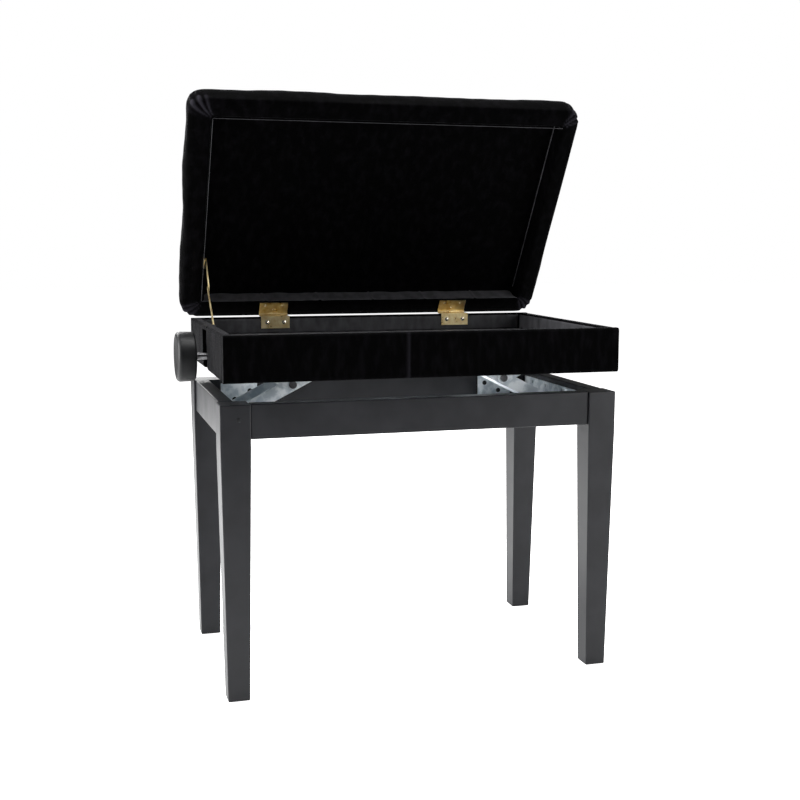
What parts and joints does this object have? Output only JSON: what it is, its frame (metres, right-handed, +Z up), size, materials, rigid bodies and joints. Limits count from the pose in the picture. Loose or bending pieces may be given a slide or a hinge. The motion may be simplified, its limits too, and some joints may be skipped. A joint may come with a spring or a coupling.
{
  "type": "piano bench",
  "caption": "Adjustable piano bench: four tapered legs and aprons, a screw lift turned by a side knob, a music tray and a padded lid on hinges with a stay.",
  "frame": {"origin": "on the floor under the middle of the bench's outline, as stored with its lid open", "axes": "+X to the bench's right, +Y to its back where the lid is hinged, +Z up"},
  "size_m": [0.608, 0.3938, 0.8267],
  "materials": {
    "black_lacquer": "satin black lacquer on wood",
    "zinc_steel": "blue-white zinc plating",
    "bright_steel": "bright turned steel",
    "black_plastic": "satin moulded plastic",
    "black_velvet": "black pile velvet",
    "satin_lining": "smooth black lining cloth",
    "plywood": "raw plywood",
    "brass": "polished brass plating"
  },
  "bodies": {
    "base": {"leg_front_left": "black_lacquer", "leg_front_right": "black_lacquer", "leg_rear_left": "black_lacquer", "leg_rear_right": "black_lacquer", "apron_front": "black_lacquer", "apron_rear": "black_lacquer", "apron_left": "black_lacquer", "apron_right": "black_lacquer", "base_rail_left": "zinc_steel", "base_rail_right": "zinc_steel", "arm_pin_left": "bright_steel", "arm_pin_right": "bright_steel"},
    "music_box": {"box_front_wall": "black_velvet", "box_rear_wall": "black_velvet", "box_left_wall": "black_velvet", "box_right_wall": "black_velvet", "box_floor": "satin_lining", "lift_frame": "zinc_steel", "link_rivet_front_left": "bright_steel", "link_rivet_front_right": "bright_steel", "link_rivet_rear_left": "bright_steel", "link_rivet_rear_right": "bright_steel", "hinge_left_box_leaf": "brass", "hinge_left_pin": "brass", "hinge_right_box_leaf": "brass", "hinge_right_pin": "brass", "stay_box_plate": "brass"},
    "lid": {"lid_rear_rail": "black_velvet", "lid_front_rail": "black_velvet", "lid_left_rail": "black_velvet", "lid_right_rail": "black_velvet", "lid_board": "plywood", "seat_cushion": "black_velvet", "lid_lining": "satin_lining", "hinge_left_lid_leaf": "brass", "hinge_right_lid_leaf": "brass", "stay_lid_plate": "brass"},
    "spindle": {"spindle": "bright_steel", "spindle_collar_left": "bright_steel", "spindle_collar_right": "bright_steel", "knob": "black_plastic"},
    "stay_lower": {"stay_lower_link": "brass"},
    "stay_upper": {"stay_upper_link": "brass"},
    "arm_left": {"lift_arm_left": "zinc_steel", "middle_pin_left": "bright_steel"},
    "link_left": {"lift_link_left": "zinc_steel"},
    "nut_left": {"spindle_nut_left": "bright_steel"},
    "arm_right": {"lift_arm_right": "zinc_steel", "middle_pin_right": "bright_steel"},
    "link_right": {"lift_link_right": "zinc_steel"},
    "nut_right": {"spindle_nut_right": "bright_steel"}
  },
  "joints": [
    {"name": "seat_lift", "type": "slide", "parent": "base", "child": "music_box", "axis": [0, 0, 1], "range_m": [-0.027, 0.035]},
    {"name": "lid_hinge", "type": "hinge", "parent": "music_box", "child": "lid", "pos_m": [0.01545, 0.15606, 0.4969], "axis": [1, 0, 0], "range_deg": [0, 57]},
    {"name": "knob_turn", "type": "hinge", "parent": "music_box", "child": "spindle", "pos_m": [0.01545, -0.02144, 0.4515], "axis": [1, 0, 0], "range_deg": [-1052, 1363]},
    {"name": "arm_left_pivot", "type": "hinge", "parent": "base", "child": "arm_left", "pos_m": [-0.22455, -0.02144, 0.3705], "axis": [0, -1, 0], "range_deg": [-9.92, 12.85]},
    {"name": "link_left_pivot", "type": "hinge", "parent": "music_box", "child": "link_left", "pos_m": [-0.22455, -0.02144, 0.4515], "axis": [0, 1, 0], "range_deg": [-9.92, 12.85]},
    {"name": "nut_left_travel", "type": "slide", "parent": "music_box", "child": "nut_left", "axis": [-1, 0, 0], "range_m": [-0.01468, 0.019]},
    {"name": "arm_right_pivot", "type": "hinge", "parent": "base", "child": "arm_right", "pos_m": [0.25545, -0.02144, 0.3705], "axis": [0, 1, 0], "range_deg": [-9.92, 12.85]},
    {"name": "link_right_pivot", "type": "hinge", "parent": "music_box", "child": "link_right", "pos_m": [0.25545, -0.02144, 0.4515], "axis": [0, -1, 0], "range_deg": [-9.92, 12.85]},
    {"name": "nut_right_travel", "type": "slide", "parent": "music_box", "child": "nut_right", "axis": [1, 0, 0], "range_m": [-0.01468, 0.019]},
    {"name": "stay_lower_pivot", "type": "hinge", "parent": "music_box", "child": "stay_lower", "pos_m": [-0.24305, 0.02356, 0.487], "axis": [1, 0, 0], "range_deg": [-41, 0]},
    {"name": "stay_upper_pivot", "type": "hinge", "parent": "lid", "child": "stay_upper", "pos_m": [-0.24155, 0.11162, 0.5837], "axis": [1, 0, 0], "range_deg": [0, 44]}
  ],
  "couplings": [
    {"joint": "knob_turn", "follows": "seat_lift", "rad_per_m": 678.58},
    {"joint": "arm_left_pivot", "follows": "seat_lift", "rad_per_m": 6.4},
    {"joint": "link_left_pivot", "follows": "seat_lift", "rad_per_m": 6.4},
    {"joint": "nut_left_travel", "follows": "seat_lift", "ratio": 0.54},
    {"joint": "arm_right_pivot", "follows": "seat_lift", "rad_per_m": 6.4},
    {"joint": "link_right_pivot", "follows": "seat_lift", "rad_per_m": 6.4},
    {"joint": "nut_right_travel", "follows": "seat_lift", "ratio": 0.54},
    {"joint": "stay_lower_pivot", "follows": "lid_hinge", "ratio": -0.7118},
    {"joint": "stay_upper_pivot", "follows": "lid_hinge", "ratio": 0.7672}
  ]
}
